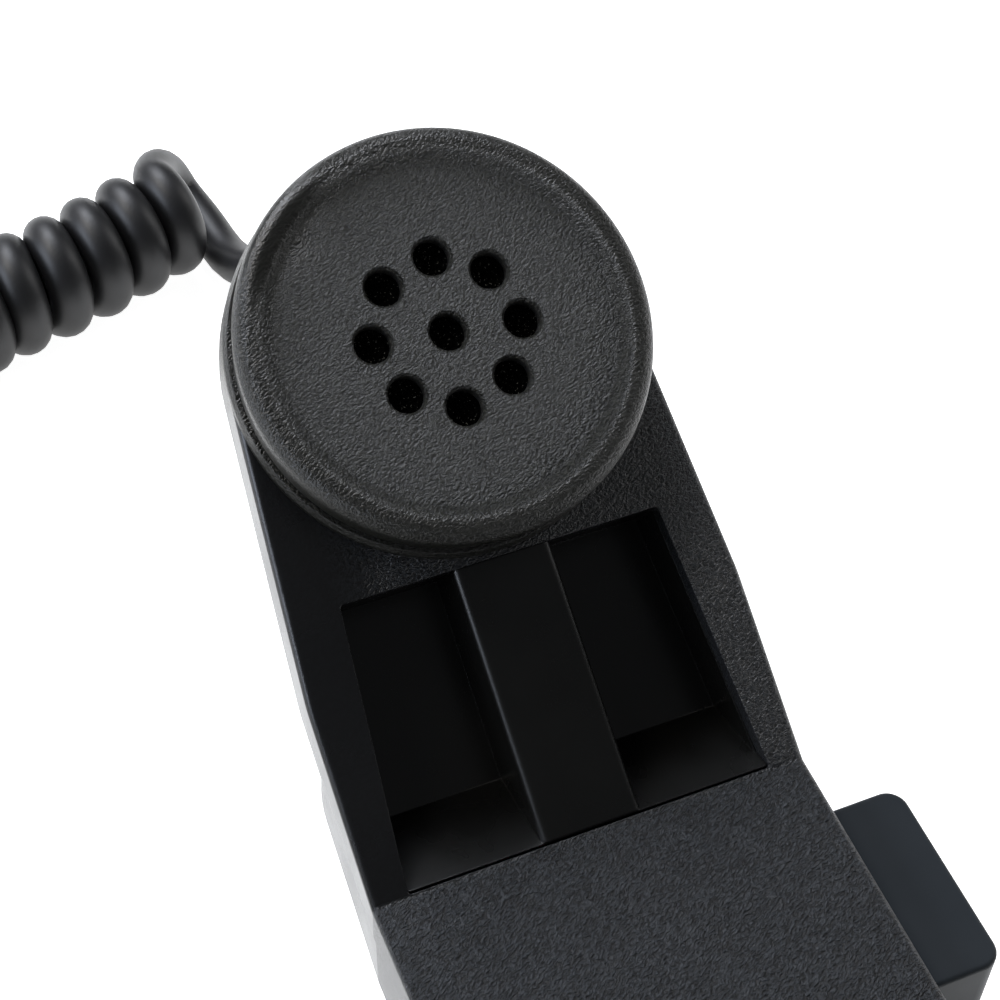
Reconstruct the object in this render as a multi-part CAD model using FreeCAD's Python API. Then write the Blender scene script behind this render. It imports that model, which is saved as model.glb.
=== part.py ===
"""A radio handset: a two-piece moulded grip with a tilted microphone head and earpiece head.

Frame: millimetres, +X along the grip towards the microphone head, +Z up, out of the grip's face.
The origin is the middle of the flat back of the grip, which is what the handset lies on.
"""

import FreeCAD
import Part
import math
import os

from FreeCAD import Placement, Rotation, Vector

# Body
body_width = 62.6
grip_height = 25.0
grip_length = 72.0
plate = 2.6
skirt_wall = 2.4
skirt_depth = 7.1
seam = 0.4
flange = 1.8
back_wall = 2.4
back_floor = 2.8
back_inset = 0.3
neck_inset = 2.0
neck_run = 12.0
neck_bend = 15.0
neck_slope = 20.0
back_round = 6.0
back_bend = 25.0
strip_end = -140.0
ear_neck_shift = 6.0
face_round = 1.0

# Microphone head and earpiece head: rise from the grip, depth, crease to cap centre, crease to taper
mic_rise, mic_depth, mic_reach, mic_taper = 32.2, 22.0, 68.0, 27.2
ear_rise, ear_depth, ear_reach, ear_taper = 20.0, 19.0, 40.0, 8.0
head_radius = 28.3

# Recess in front of the microphone
recess_top = 38.8
recess_top_half = 23.0
recess_low_half = 26.2
recess_depth = 11.0
ramp_length = 10.4
rib_half = 7.15
insert_wall = 1.5

# Screw caps and what they hold
cap_radius = 28.1
mic_cap_height = 11.4
ear_cap_height = 12.0
collar_height = 2.4
gasket = 0.4
boss_radius = 23.5
bore_radius = 22.1
boss_height = 6.5
hole_radius = 2.5
mic_hole_ring = 10.2
hole_turn = -6.0
bead_rise = 0.8
ear_hole_ring = 9.0

# Push-to-talk bar, its pin, spring and switch
bar_x = (1.6, 30.4)
bar_outer_y = -43.7
bar_inner_y = -25.5
bar_z = (6.2, 19.0)
pin_xy = (28.5, -27.5)
pin_radius = 1.25
pin_clearance = 0.07
spring_x = 5.0
switch_x = 18.0
press_z = 12.6

# Curly cord: wire, outer diameter of the coil, and plug
cord_radius = 3.5
coil_radius = 11.0
relief_length = 28.0
relief_tilt = 25.0
relief_at = 80.0
pin_spacing = 11.9

mic_frame = Placement(Vector(grip_length / 2, 0, grip_height), Rotation(Vector(0, 1, 0), -mic_rise))
ear_turn = Rotation(Vector(0, 0, 1), 180).multiply(Rotation(Vector(0, 1, 0), -ear_rise))
ear_frame = Placement(Vector(-grip_length / 2, 0, grip_height), ear_turn)


def save(name, shape):
    """Write one node."""
    shape.exportStep("parts/" + name + ".step")


def placed(frame, shape):
    """The shape carried from a head's own frame to the handset's."""
    moved = shape.copy()
    moved.Placement = frame.multiply(moved.Placement)
    return moved


def point_in(frame, x, y, z):
    """A point of a head's own frame, in the handset's frame."""
    return frame.multVec(Vector(x, y, z))


def box(x, y, z):
    """A block between pairs of limits."""
    return Part.makeBox(x[1] - x[0], y[1] - y[0], z[1] - z[0], Vector(x[0], y[0], z[0]))


def rod(radius, start, end):
    """A round bar between two points."""
    return Part.makeCylinder(radius, (end - start).Length, start, end - start)


def disc(radius, low, high):
    """A round plate about the Z axis."""
    return Part.makeCylinder(radius, high - low, Vector(0, 0, low))


def turned(profile, roundings=()):
    """A solid of revolution about Z of a closed (radius, height) outline with rounded corners."""
    points = [Vector(r, 0, z) for r, z in profile]
    outline = run_and_arcs(points, list(roundings) or [0.0] * len(points), True)
    return Part.Face(outline).revolve(Vector(), Vector(0, 0, 1), 360)


def run_and_arcs(points, radii, closed):
    """Straight runs joined by tangent arcs. A radius of 0 leaves the corner sharp."""
    count = len(points)
    entry, leave, middle = list(points), list(points), [None] * count
    for i in range(count):
        if radii[i] == 0 or (not closed and i in (0, count - 1)):
            continue
        back = (points[i - 1] - points[i]).normalize()
        ahead = (points[(i + 1) % count] - points[i]).normalize()
        half_turn = (math.pi - back.getAngle(ahead)) / 2
        cut = radii[i] * math.tan(half_turn)
        entry[i] = points[i] + back * cut
        leave[i] = points[i] + ahead * cut
        inward = (back + ahead).normalize()
        middle[i] = points[i] + inward * (radii[i] / math.cos(half_turn) - radii[i])
    edges = []
    for i in range(count if closed else count - 1):
        if middle[i]:
            edges.append(Part.Arc(entry[i], middle[i], leave[i]).toShape())
        following = entry[(i + 1) % count]
        if (following - leave[i]).Length > 1e-6:
            edges.append(Part.LineSegment(leave[i], following).toShape())
    return Part.Wire(edges)


def flat_outline(corners):
    """A closed face in the XY plane from (x, y, corner radius) corners."""
    points = [Vector(x, y, 0) for x, y, _ in corners]
    return Part.Face(run_and_arcs(points, [r for _, _, r in corners], True))


def head_plan(reach, taper, inset, neck=0.0):
    """Plan of a head: a strip that tapers to a round end. A neck sets the head in from the strip."""
    near = body_width / 2 - inset
    far = near - neck
    radius = head_radius - inset - neck
    span = math.hypot(reach - taper, far)
    turn = math.atan2(far, taper - reach) - math.acos(radius / span)
    lean = (far - radius * math.sin(turn)) / (reach + radius * math.cos(turn) - taper)
    end_x = reach + radius
    end_y = far - lean * (end_x - taper)
    corners = [(end_x, end_y, radius), (taper, far, 30.0)]
    if neck:
        start = taper - neck_run
        slope = neck / math.tan(math.radians(neck_slope))
        corners += [(start + slope, far, neck_bend), (start, near, neck_bend)]
    corners += [(strip_end, near, 0.0)]
    mirrored = [(x, -y, r) for x, y, r in reversed(corners)]
    face = flat_outline(corners + mirrored)
    face.translate(Vector(0, 0, -110))
    return face.extrude(Vector(0, 0, 260))


def crease(side, rise, grip_down, head_down):
    """Where a line below the grip's face meets a line below a head's face, in the XZ plane."""
    angle = math.radians(rise)
    along = (head_down * math.cos(angle) - grip_down) / math.sin(angle)
    out = grip_length / 2 + along * math.cos(angle) + head_down * math.sin(angle)
    return side * out, grip_height - grip_down


def side_profile(top, mic_back, grip_back, ear_back, rounding):
    """The handset's side view between two depths below its face, stretched past both ends."""
    mic_end = mic_reach + head_radius + 6
    ear_end = ear_reach + head_radius + 6
    mic_high, mic_low = (point_in(mic_frame, mic_end, 0, -d) for d in (top, mic_back))
    ear_high, ear_low = (point_in(ear_frame, ear_end, 0, -d) for d in (top, ear_back))
    corners = [(ear_high.x, ear_high.z, 0.0)]
    corners.append((*crease(-1, ear_rise, top, top), 0.0))
    corners.append((*crease(1, mic_rise, top, top), 0.0))
    corners.append((mic_high.x, mic_high.z, 0.0))
    corners.append((mic_low.x, mic_low.z, 0.0))
    corners.append((*crease(1, mic_rise, grip_back, mic_back), rounding))
    corners.append((*crease(-1, ear_rise, grip_back, ear_back), rounding))
    corners.append((ear_low.x, ear_low.z, 0.0))
    face = flat_outline(corners)
    face.rotate(Vector(), Vector(1, 0, 0), 90)
    face.translate(Vector(0, -50, 0))
    return face.extrude(Vector(0, 100, 0))


def hull(inset, neck, side):
    """A side profile trimmed to the plan of both heads."""
    mic = placed(mic_frame, head_plan(mic_reach, mic_taper, inset, neck))
    shift = ear_neck_shift if neck else 0.0
    ear = placed(ear_frame, head_plan(ear_reach, ear_taper + shift, inset, neck))
    return side.common(mic).common(ear).removeSplitter()


def rim_edges(solid, upward):
    """The edges where the face side, or the back, meets the walls."""
    chosen = []
    flat = [f for f in solid.Faces if f.normalAt(*middle_of(f)).z * upward > 0.3]
    for edge in solid.Edges:
        if sum(any(edge.isSame(e) for e in f.Edges) for f in flat) == 1:
            chosen.append(edge)
    return chosen


def middle_of(face):
    """The middle of a face's parameter range."""
    u0, u1, v0, v1 = face.ParameterRange
    return (u0 + u1) / 2, (v0 + v1) / 2


def even_skin(depth):
    """A side profile's depths when every part lies the same depth below the face."""
    return depth, depth, depth


screw_places = [(mic_frame, 46.0, 19.0, mic_depth), (mic_frame, 46.0, -19.0, mic_depth)]
screw_places += [(ear_frame, 12.0, 19.0, ear_depth), (ear_frame, 12.0, -19.0, ear_depth)]
grip_frame = Placement(Vector(0, 0, grip_height), Rotation())
screw_places += [(grip_frame, 26.0, 20.0, grip_height), (grip_frame, -24.0, -20.0, grip_height)]


def fuse_all(shapes):
    """One solid from several that overlap."""
    return shapes[0].multiFuse(shapes[1:]).removeSplitter()


def window(clearance):
    """The opening in the side wall that the bar moves in."""
    x = (bar_x[0] - clearance, bar_x[1] + clearance)
    return box(x, (-40.0, -24.0), (bar_z[0] - 0.6, bar_z[1] + 0.6))


def recess_plan(grow, low):
    """The tapered outline of the recess, in the microphone head's frame."""
    top, bottom = recess_top + grow, low - grow
    corners = [(top, recess_top_half + grow, 0.5), (bottom, recess_low_half + grow, 0.5)]
    mirrored = [(x, -y, r) for x, y, r in reversed(corners)]
    return flat_outline(corners + mirrored)


def front_shell():
    """The face moulding: plate, skirt, threaded bosses, screw pillars and the pin's upper seat."""
    body = hull(0.0, 0.0, side_profile(0.0, *even_skin(skirt_depth), 0.0))
    body = body.makeFillet(face_round, rim_edges(body, 1))
    inner = hull(skirt_wall, 0.0, side_profile(plate, *even_skin(skirt_depth + 1), 0.0))
    shell = body.cut(inner)
    added = []
    for frame, reach in ((mic_frame, mic_reach), (ear_frame, ear_reach)):
        boss = disc(boss_radius, -plate, boss_height)
        boss.translate(Vector(reach, 0, 0))
        added.append(placed(frame, boss))
    for frame, x, y, depth in screw_places:
        pillar = Part.makeCylinder(3.4, depth - 5.0 - 1.0, Vector(x, y, -(depth - 5.0)))
        added.append(placed(frame, pillar))
    seat_low = Vector(pin_xy[0], pin_xy[1], bar_z[1] + 0.6)
    added.append(rod(2.6, seat_low, seat_low + Vector(0, 0, 3.5)))
    shell = fuse_all([shell] + added)
    for frame, reach in ((mic_frame, mic_reach), (ear_frame, ear_reach)):
        bore = disc(bore_radius, -20, 20)
        bore.translate(Vector(reach, 0, 0))
        shell = shell.cut(placed(frame, bore))
    for frame, x, y, depth in screw_places:
        pilot = Part.makeCylinder(1.4, 12.2, Vector(x, y, -(depth - 5.0)))
        shell = shell.cut(placed(frame, pilot))
    opening = recess_plan(0.0, 0.4)
    opening.translate(Vector(0, 0, -12))
    shell = shell.cut(placed(mic_frame, opening.extrude(Vector(0, 0, 20))))
    bore_low = Vector(pin_xy[0], pin_xy[1], 0)
    shell = shell.cut(rod(pin_radius, bore_low, bore_low + Vector(0, 0, grip_height - plate)))
    return shell.cut(window(0.8))


def relief_axis():
    """Base point on the back of the microphone head and outward direction of the cord's exit."""
    angle = math.radians(relief_tilt)
    base = point_in(mic_frame, relief_at, 0, -mic_depth)
    way = point_in(mic_frame, relief_at + math.sin(angle), 0, -mic_depth - math.cos(angle)) - base
    return base, way


def rounded_below(block, depth):
    """A plan block cut off at a depth below the face, with its lower rim rounded."""
    block = block.cut(box((-200, 200), (-100, 100), (-depth - 200, -depth)))
    rim = []
    for edge in block.Edges:
        limits = edge.BoundBox
        flat = abs(limits.ZMax + depth) < 0.01 and abs(limits.ZMin + depth) < 0.01
        if flat and limits.XMax > strip_end + 0.1:
            rim.append(edge)
    return block.makeFillet(back_round, rim)


def rounded_tray(top):
    """The back moulding's outside below its flange."""
    mic = rounded_below(head_plan(mic_reach, mic_taper, back_inset, neck_inset), mic_depth)
    ear = rounded_below(head_plan(ear_reach, ear_taper + ear_neck_shift, back_inset, neck_inset), ear_depth)
    half = body_width / 2 - back_inset
    grip = box((-200, 200), (-half, half), (0, 300))
    long_edges = [e for e in grip.Edges if abs(e.CenterOfMass.z) < 0.01 and abs(e.CenterOfMass.x) < 1]
    grip = grip.makeFillet(back_round, long_edges)
    side = side_profile(top, mic_depth, grip_height, ear_depth, back_bend)
    tray = side.common(placed(mic_frame, mic)).common(placed(ear_frame, ear)).common(grip)
    return tray.removeSplitter()


def back_shell():
    """The rear moulding: flange, deep tray, screw seats, posts and the boss for the cord."""
    top = skirt_depth + seam
    rim = hull(back_inset, 0.0, side_profile(top, *even_skin(top + flange), 0.0))
    tray = rounded_tray(top)
    base, way = relief_axis()
    boss = rod(8.2, base - way * 5.0, base + way * 2.5)
    shell = fuse_all([rim, tray, boss])
    depths = (mic_depth - back_floor, grip_height - back_floor, ear_depth - back_floor)
    inner = hull(back_inset + back_wall, neck_inset, side_profile(plate, *depths, 22.0))
    shell = shell.cut(inner)
    added = []
    for frame, x, y, depth in screw_places:
        added.append(placed(frame, Part.makeCylinder(4.8, 4.0, Vector(x, y, -(depth - 1.0)))))
    for x, y in bracket_posts():
        added.append(rod(2.4, Vector(x, y, 2.0), Vector(x, y, 8.0)))
    for x, y in board_posts():
        added.append(rod(2.4, Vector(x, y, 2.0), Vector(x, y, 7.0)))
    low = Vector(pin_xy[0], pin_xy[1], 2.0)
    added.append(rod(2.6, low, Vector(low.x, low.y, bar_z[0] - 0.6)))
    added.append(box((spring_x - 4, spring_x + 4), (-22.0, -20.0), (2.0, 16.5)))
    shell = fuse_all([shell] + added)
    for frame, x, y, depth in screw_places:
        hole = Part.makeCylinder(1.6, 8.0, Vector(x, y, -(depth + 1.0)))
        counterbore = Part.makeCylinder(3.1, 3.4, Vector(x, y, -(depth + 1.0)))
        shell = shell.cut(placed(frame, hole)).cut(placed(frame, counterbore))
    for x, y in bracket_posts() + board_posts():
        shell = shell.cut(rod(0.8, Vector(x, y, 3.2), Vector(x, y, 9.0)))
    shell = shell.cut(rod(pin_radius, Vector(low.x, low.y, 3.4), Vector(low.x, low.y, 12.0)))
    for radius, low_end, high_end in ((5.6, -9.0, 6.0), (7.4, -9.0, -5.0), (8.3, 2.5, 6.0)):
        shell = shell.cut(rod(radius, base + way * low_end, base + way * high_end))
    return shell.cut(window(0.8))


def bracket_posts():
    """Where the switch bracket is screwed down."""
    return [(switch_x - 4.5, -10.5), (switch_x + 4.5, -10.5)]


def board_posts():
    """Where the terminal board is screwed down."""
    return [(-21.0, 7.0), (5.0, 7.0)]


def seam_gasket():
    """The thin rubber cord squeezed between the two mouldings."""
    bottom = skirt_depth + seam
    outer = hull(0.5, 0.0, side_profile(skirt_depth, *even_skin(bottom), 0.0))
    inner = hull(skirt_wall - 0.1, 0.0, side_profile(plate, *even_skin(bottom + 4), 0.0))
    return outer.cut(inner).cut(window(0.8))


def recess_insert():
    """The smooth tray behind the plate: tapered walls, floor, end ramps and the middle rib."""
    low = 0.6
    outer = recess_plan(insert_wall, low + insert_wall)
    outer.translate(Vector(0, 0, -recess_depth - insert_wall))
    tray = outer.extrude(Vector(0, 0, recess_depth + insert_wall - plate))
    inner = recess_plan(0.0, low - 4.0)
    inner.translate(Vector(0, 0, -recess_depth))
    ramp_side = [(-8.0, 0.0), (low + 0.2, -0.5), (ramp_length, -recess_depth), (-8.0, -recess_depth)]
    points = [Vector(x, -40, z) for x, z in ramp_side]
    wedge = Part.Face(Part.makePolygon(points + points[:1])).extrude(Vector(0, 80, 0))
    hollow = inner.extrude(Vector(0, 0, 40)).cut(wedge)
    below = [(low, -0.5 - insert_wall), (ramp_length - 1, -recess_depth - insert_wall)]
    below += [(-30.0, -recess_depth - insert_wall), (-30.0, -0.5 - insert_wall)]
    points = [Vector(x, -40, z) for x, z in below]
    under = Part.Face(Part.makePolygon(points + points[:1])).extrude(Vector(0, 80, 0))
    lip = recess_plan(-0.05, low + 0.05)
    lip.translate(Vector(0, 0, -plate))
    upper = lip.extrude(Vector(0, 0, plate)).common(wedge)
    rib = box((low + 0.3, recess_top - 0.05), (-rib_half, rib_half), (-recess_depth - 0.5, 0.0))
    ends = [e for e in rib.Edges if abs(e.CenterOfMass.z) < 0.01 and abs(e.CenterOfMass.y) > 1]
    rib = rib.makeFillet(1.2, ends)
    tray = tray.cut(hollow)
    return fuse_all([tray, upper, rib]).cut(under)


def cap(height, dish, ring, ring_holes):
    """A screw cap: knurl-free wall, rounded bead rim, sunk face and sound holes."""
    r = cap_radius
    low = collar_height + gasket
    face = height - bead_rise
    corners = [
        (boss_radius + 0.15, low, 0.0),
        (r - 0.6, low, 0.3),
        (r - 0.6, height - 4.4, 1.5),
        (r, height - 3.2, 1.5),
        (r, height, 2.1),
        (r - 3.4, height, 2.0),
        (r - 5.0, face, 1.5),
        (0.0, face - dish, 0.0),
        (0.0, face - dish - 2.2, 0.0),
        (ring + 4.0, face - 2.2 - dish * 0.6, 0.0),
        (boss_radius - 1.4, boss_height + 1.8, 0.0),
        (boss_radius + 0.15, boss_height + 1.0, 0.0),
    ]
    shape = turned([(x, z) for x, z, _ in corners], [rounding for _, _, rounding in corners])
    bit = disc(hole_radius, 0, 20)
    countersink = Part.makeCone(hole_radius, hole_radius + 1.2, 1.2)
    countersink.translate(Vector(0, 0, face - dish - 0.35))
    cutter = bit.fuse(countersink)
    places = [(0.0, 0.0)]
    for k in range(ring_holes):
        angle = math.radians(hole_turn) + 2 * math.pi * k / ring_holes
        places.append((ring * math.cos(angle), ring * math.sin(angle)))
    for x, y in places:
        drill = cutter.copy()
        drill.translate(Vector(x, y, 0))
        shape = shape.cut(drill)
    return shape


def cap_set(name, frame, reach, height, dish, ring, ring_holes, cup_low, capsule):
    """Everything that sits on one head's axis, from the collar to the contact springs."""
    low, high = capsule
    r = boss_radius
    collar = [(r + 0.1, 0), (cap_radius + 0.4, 0), (cap_radius + 0.4, 1.2)]
    collar += [(cap_radius, collar_height), (r + 0.1, collar_height)]
    cup = [(r - 0.1, boss_height), (r - 0.1, boss_height + 0.7), (20.9, boss_height + 0.7)]
    cup += [(20.9, cup_low + 1.2), (0, cup_low + 1.2), (0, cup_low), (bore_radius - 0.1, cup_low)]
    cup += [(bore_radius - 0.1, boss_height)]
    body = [(0, low), (13.0, low), (13.0, low + 1.6), (19.4, low + 1.6), (20.7, low + 3.0)]
    body += [(20.7, high - 0.8), (20.0, high), (0, high)]
    pieces = {
        name + "_collar": turned(collar),
        name + "_gasket": disc(r + 2.9, collar_height, collar_height + gasket).cut(disc(r + 0.1, 0, 9)),
        name + "_cap": cap(height, dish, ring, ring_holes),
        name + "_cup": turned(cup),
        name + "_capsule": turned(body),
        name + "_dust_pad": disc(r - 1.7, boss_height + 0.75, boss_height + 1.2),
    }
    contacts = []
    for side in (-1, 1):
        gap = low - cup_low - 1.2
        side_view = [(2.0, 0.0), (9.0, 0.0), (4.0, gap - 0.4), (9.0, gap - 0.4), (9.0, gap)]
        side_view += [(3.2, gap), (8.2, 0.4), (2.0, 0.4)]
        points = [Vector(side * x, -2.0, z + cup_low + 1.2) for x, z in side_view]
        leaf = Part.Face(Part.makePolygon(points + points[:1])).extrude(Vector(0, 4.0, 0))
        contacts.append(leaf)
    pieces[name + "_contacts"] = Part.Compound(contacts)
    for node, shape in pieces.items():
        shape.translate(Vector(reach, 0, 0))
        save(node, placed(frame, shape))


def pan_screw(head_radius_mm, head_height, shank_radius, length):
    """A screw pointing along +Z with its head at the origin and a slot in the head."""
    head = Part.makeCylinder(head_radius_mm, head_height)
    shank = Part.makeCylinder(shank_radius, length, Vector(0, 0, head_height))
    slot = box((-head_radius_mm, head_radius_mm), (-0.3, 0.3), (-0.1, head_height * 0.45))
    return head.fuse(shank).cut(slot)


def shell_screws():
    """The screws that clamp the back moulding to the front one."""
    made = []
    for frame, x, y, depth in screw_places:
        screw = pan_screw(2.8, 1.6, 1.4, 12.0)
        screw.translate(Vector(x, y, -(depth - 2.4) - 1.6))
        made.append(placed(frame, screw))
    return Part.Compound(made)


def small_screws(places, seat):
    """Small screws driven down into posts of the back moulding."""
    made = []
    for x, y in places:
        screw = pan_screw(1.6, 1.0, 0.8, 4.6)
        screw.rotate(Vector(), Vector(1, 0, 0), 180)
        screw.translate(Vector(x, y, seat + 1.0))
        made.append(screw)
    return Part.Compound(made)


def ptt_bar():
    """The long push-to-talk key: rounded outside, lip behind the wall, bore, spring seat, cores."""
    outer = box(bar_x, (bar_outer_y, -27.0), bar_z)
    outside = [e for e in outer.Edges if abs(e.CenterOfMass.y - bar_outer_y) < 0.01]
    upright = [e for e in outside if abs(e.CenterOfMass.z - sum(bar_z) / 2) < 0.01]
    outer = outer.makeFillet(3.0, upright)
    outside = [e for e in outer.Edges if e.CenterOfMass.y < bar_outer_y + 3.0]
    rims = [e for e in outside if min(abs(e.CenterOfMass.z - z) for z in bar_z) < 0.01]
    outer = outer.makeFillet(0.7, rims)
    inner = box(bar_x, (-28.0, bar_inner_y), bar_z)
    lip = box((bar_x[0] - 3.0, bar_x[0] + 1.0), (-28.0, bar_inner_y), (bar_z[0] + 0.6, bar_z[1] - 0.6))
    bar = fuse_all([outer, inner, lip])
    axis_low = Vector(pin_xy[0], pin_xy[1], 0)
    bar = bar.cut(rod(pin_radius + pin_clearance, axis_low, axis_low + Vector(0, 0, 30)))
    seat = Vector(spring_x, -34.0, press_z)
    bar = bar.cut(rod(3.4, seat, seat + Vector(0, 12, 0)))
    for low, high in ((9.8, 14.6), (21.4, 25.0)):
        bar = bar.cut(box((low, high), (bar_outer_y + 2.0, -24.0), (bar_z[0] + 2, bar_z[1] - 2)))
    return bar


def ptt_spring():
    """The compression spring that pushes the key out."""
    wire, mean, turns, length = 0.3, 2.5, 6, 11.2
    path = Part.makeHelix(length / turns, length, mean)
    ring = Part.Wire(Part.makeCircle(wire, Vector(mean, 0, 0), Vector(0, 1, 0.12)))
    coil = Part.Wire(path.Edges).makePipeShell([ring], True, True)
    coil.rotate(Vector(), Vector(1, 0, 0), -90)
    coil.translate(Vector(spring_x, -33.5, press_z))
    return Part.Solid(coil) if coil.ShapeType != "Solid" else coil


def switch_parts():
    """The switch under the key: body, sliding plunger, bracket and its screws."""
    x = (switch_x - 6.5, switch_x + 6.5)
    body = box(x, (-21.8, -14.8), (9.0, 16.2))
    tip, foot = Vector(switch_x, -25.2, press_z), Vector(switch_x, -20.6, press_z)
    body = body.cut(rod(1.26, Vector(switch_x, -23, press_z), Vector(switch_x, -18.4, press_z)))
    legs = [box((lx - 0.4, lx + 0.4), (-19.0, -16.6), (16.2, 18.4)) for lx in (x[0] + 2, x[1] - 2)]
    plunger = rod(1.2, tip, foot)
    dome = [e for e in plunger.Edges if abs(e.CenterOfMass.y + 25.2) < 0.01]
    bracket = box((x[0] - 1, x[1] + 1), (-21.8, -7.6), (8.0, 9.0))
    bracket = bracket.fuse(box((x[0] - 1, x[1] + 1), (-14.8, -13.8), (9.0, 15.0))).removeSplitter()
    for px, py in bracket_posts():
        bracket = bracket.cut(rod(1.0, Vector(px, py, 7), Vector(px, py, 10)))
    save("switch_body", fuse_all([body] + legs))
    save("switch_plunger", plunger.makeFillet(0.5, dome))
    save("switch_bracket", bracket)
    save("bracket_screws", small_screws(bracket_posts(), 9.0))


def board_parts():
    """The terminal board, its clamp block and its screws."""
    board = box((-24.0, 8.0), (-4.0, 18.0), (7.0, 8.6))
    for x, y in board_posts():
        board = board.cut(rod(1.0, Vector(x, y, 6), Vector(x, y, 10)))
    block = box((-17.0, 1.0), (9.0, 16.0), (8.6, 15.6))
    studs = []
    for k in range(6):
        x = -15.5 + 3.0 * k
        block = block.cut(rod(1.1, Vector(x, 12.5, 12.6), Vector(x, 12.5, 16)))
        studs.append(rod(1.1, Vector(x, 12.5, 12.6), Vector(x, 12.5, 14.8)))
    save("terminal_board", board)
    save("terminal_block", block)
    save("terminal_screws", Part.Compound(studs))
    save("board_screws", small_screws(board_posts(), 8.6))


def wire_bundle(points, places, radius):
    """Thin insulated wires side by side, each along the same rounded route."""
    made = []
    for y in places:
        route = [p + Vector(0, y, 0) for p in points]
        path = run_and_arcs(route, [4.0] * len(route), False)
        start = Part.makeCircle(radius, route[0], route[1] - route[0])
        made.append(path.makePipeShell([Part.Wire(start)], True, False))
    return Part.Compound(made)


def inner_wires():
    """Wires from the cord, both capsules and the switch to the terminal block."""
    entry = point_in(mic_frame, 68, 0, -16.6)
    under = point_in(mic_frame, 14, 0, -16.6)
    grip = Vector(22, 0, 11.6)
    near = Vector(3, 0, 12.2)
    save("cord_conductors", wire_bundle([entry, under, grip, near], (8.4, 10.2, 12.0, 13.8), 0.65))
    cup = point_in(mic_frame, 58, 0, -14.4)
    low = point_in(mic_frame, 12, 0, -14.4)
    save("mic_wires", wire_bundle([cup, low, Vector(22, 0, 14.4), near + Vector(0, 0, 2.2)], (5.2, 6.6), 0.5))
    cup = point_in(ear_frame, 30, 0, -11.6)
    low = point_in(ear_frame, 6, 0, -11.6)
    save("ear_wires", wire_bundle([cup, low, Vector(-26, 0, 12.4), Vector(-18, 0, 12.4)], (11.2, 12.8), 0.5))
    legs = [Vector(12, -15.2, 17.0), Vector(12, -9.0, 17.2), Vector(12, 3, 14.0), Vector(6, 8, 10.2)]
    save("switch_wires", wire_bundle(legs, (0.0,), 0.5))


def strain_relief():
    """The rubber boot round the cord where it leaves the microphone head."""
    base, way = relief_axis()
    outline = [(cord_radius, -6.4), (7.2, -6.4), (7.2, -5.0), (5.5, -5.0), (5.5, 2.5), (8.0, 2.5)]
    outline += [(8.0, 4.5), (6.6, 5.5)]
    ribs = 5
    for k in range(ribs):
        low = 7.0 + k * 3.9
        outer = 6.4 - 0.3 * k
        outline += [(outer, low), (outer - 0.1, low + 2.3), (outer - 1.0, low + 2.5), (outer - 1.1, low + 3.7)]
    outline += [(cord_radius + 0.9, relief_length - 0.8), (cord_radius + 0.6, relief_length)]
    outline += [(cord_radius, relief_length)]
    boot = turned(outline)
    stub = disc(cord_radius, -7.6, relief_length)
    frame = Placement(base, Rotation(Vector(0, 0, 1), way))
    save("strain_relief", placed(frame, boot))
    save("inner_cable", placed(frame, stub))
    return base + way * relief_length, way


def tube_route(points):
    """The path of a cord's tube, with each arc as large as its two runs allow."""
    radii = [0.0]
    for before, here, after in zip(points, points[1:], points[2:]):
        back, ahead = before - here, after - here
        turn = math.pi - back.getAngle(ahead)
        radii.append(0.45 * min(back.Length, ahead.Length) / math.tan(turn / 2))
    return run_and_arcs(points, radii + [0.0], False), radii[1:]


def tube(name, points, radius):
    """One stretch of cord as a plain tube. Prints its radii and how its volume compares."""
    path, radii = tube_route(points)
    start = Part.Wire(Part.makeCircle(radius, points[0], points[1] - points[0]))
    solid = path.makePipeShell([start], True, False)
    share = solid.Volume / (math.pi * radius**2 * path.Length)
    print(name, "length", round(path.Length, 1), "radii", [round(r, 1) for r in radii])
    print(name, "volume over section times length", round(share, 4))
    save(name, solid)


def cord_parts(exit_point, exit_way):
    """The free cord: lead from the handset, curly part on the table, tail to the plug."""
    lead = [exit_point, exit_point + exit_way * 18.0, Vector(169.0, 4.6, 11.6), Vector(184.5, 9.6, 5.2)]
    tube("cord_lead", lead, cord_radius)
    coil = [Vector(190.5, 10.0, coil_radius), Vector(172.5, 56.5, coil_radius)]
    coil += [Vector(127.0, 87.5, coil_radius), Vector(22.0, 89.0, coil_radius)]
    tube("cord_coil", coil, coil_radius)
    tail = [Vector(26.0, 89.0, 3.6), Vector(2.0, 89.0, 3.6), Vector(-22.0, 85.0, 5.6), Vector(-44.0, 86.0, 5.6)]
    tube("cord_tail", tail, cord_radius)
    return tail[-1], (tail[-1] - tail[-2]).normalize()


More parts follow.
